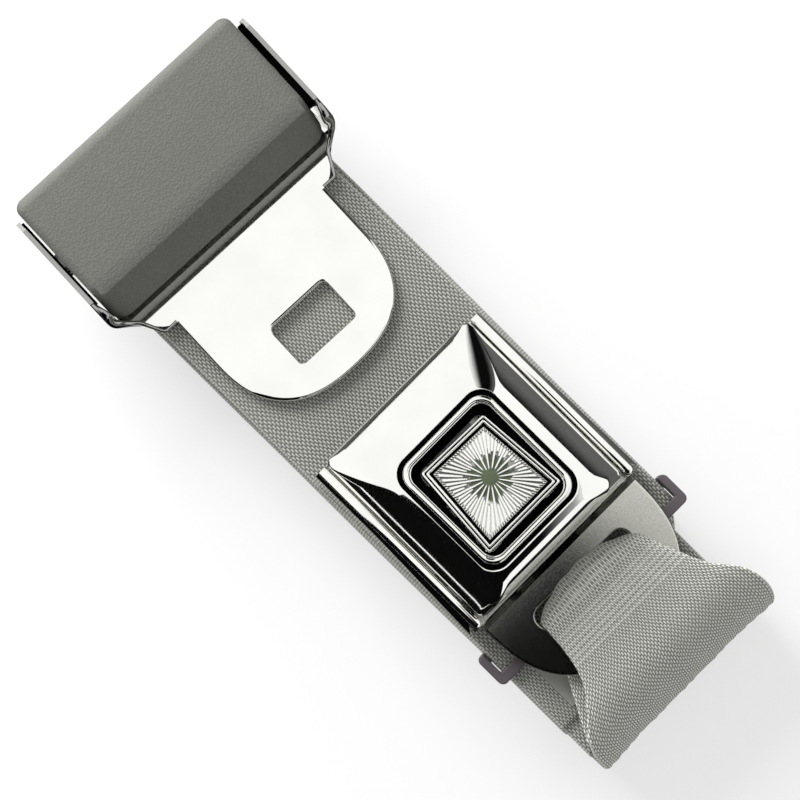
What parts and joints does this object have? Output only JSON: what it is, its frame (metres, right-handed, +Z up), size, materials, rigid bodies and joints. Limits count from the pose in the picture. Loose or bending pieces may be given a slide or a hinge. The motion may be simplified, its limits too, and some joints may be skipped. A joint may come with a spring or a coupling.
{
  "type": "lap belt",
  "caption": "Folded two-piece vehicle lap belt: webbing, chrome tongue plate with adjuster cap, push-button buckle, keeper and an anchor plate on each half.",
  "frame": {"origin": "under the middle of the folded pack, on the surface it lies on", "axes": "+X along the belt from the adjuster cap to the fold of the buckle strap, +Y across the webbing, +Z up through the pack"},
  "size_m": [0.1666, 0.0624, 0.0392],
  "materials": {
    "tongue_chrome": "mirror chrome plate on pressed steel",
    "bar_steel": "knurled, bright",
    "cap_plastic": "warm grey moulded plastic with a fine leather grain",
    "webbing": "light warm grey polyester webbing, lozenge weave",
    "label_cloth": "smooth satin patch, bare",
    "keeper_plastic": "mauve grey moulded plastic",
    "anchor_steel": "zinc-plated steel",
    "housing_chrome": "mirror chrome plate",
    "frame_zinc": "zinc-plated steel, finely speckled",
    "cover_chrome": "mirror chrome plate",
    "black_plastic": "black moulded plastic",
    "button_chrome": "chrome-plated moulding",
    "insert_metal": "silver plate with radial flutes and a grey-green middle",
    "lever_steel": "zinc-plated steel",
    "pin_steel": "bright steel",
    "spring_steel": "spring steel wire",
    "ejector_plastic": "pale acetal moulding",
    "strap_webbing": "light warm grey polyester webbing, lozenge weave"
  },
  "bodies": {
    "tongue_half": {"tongue_plate": "tongue_chrome", "adjuster_cap": "cap_plastic", "tongue_webbing": "webbing", "webbing_label": "label_cloth", "tongue_anchor_plate": "anchor_steel"},
    "adjuster_bar": {"adjuster_bar": "bar_steel"},
    "keeper": {"webbing_keeper": "keeper_plastic"},
    "buckle_half": {"buckle_housing": "housing_chrome", "buckle_frame": "frame_zinc", "buckle_cover": "cover_chrome", "button_bezel": "black_plastic", "latch_pin": "pin_steel", "latch_spring": "spring_steel", "ejector_springs": "spring_steel", "buckle_webbing": "strap_webbing", "buckle_anchor_plate": "anchor_steel"},
    "button": {"push_button": "button_chrome", "button_insert": "insert_metal"},
    "latch": {"latch_lever": "lever_steel"},
    "ejector": {"ejector": "ejector_plastic"}
  },
  "joints": [
    {"name": "halves_apart", "type": "slide", "parent": "tongue_half", "child": "buckle_half", "axis": [0, -1, 0], "range_m": [0, 0.12]},
    {"name": "adjuster_bar_float", "type": "slide", "parent": "tongue_half", "child": "adjuster_bar", "axis": [1, 0, 0], "range_m": [0, 0.0018]},
    {"name": "keeper_slide", "type": "slide", "parent": "tongue_half", "child": "keeper", "axis": [1, 0, 0], "range_m": [-0.004, 0.012]},
    {"name": "button_press", "type": "slide", "parent": "buckle_half", "child": "button", "axis": [0, 0, -1], "range_m": [0, 0.0026], "stiffness_N_per_m": 800, "springref_m": -0.003},
    {"name": "latch_tilt", "type": "hinge", "parent": "buckle_half", "child": "latch", "pos_m": [0.02388, 0, 0.0294], "axis": [0, 1, 0], "range_deg": [0, 17.13], "deforming": ["latch_spring"]},
    {"name": "ejector_slide", "type": "slide", "parent": "buckle_half", "child": "ejector", "axis": [1, 0, 0], "range_m": [0, 0.0065], "stiffness_N_per_m": 300, "springref_m": -0.004, "deforming": ["ejector_springs"]}
  ],
  "couplings": [
    {"joint": "latch_tilt", "follows": "button_press", "rad_per_m": 113.64}
  ]
}
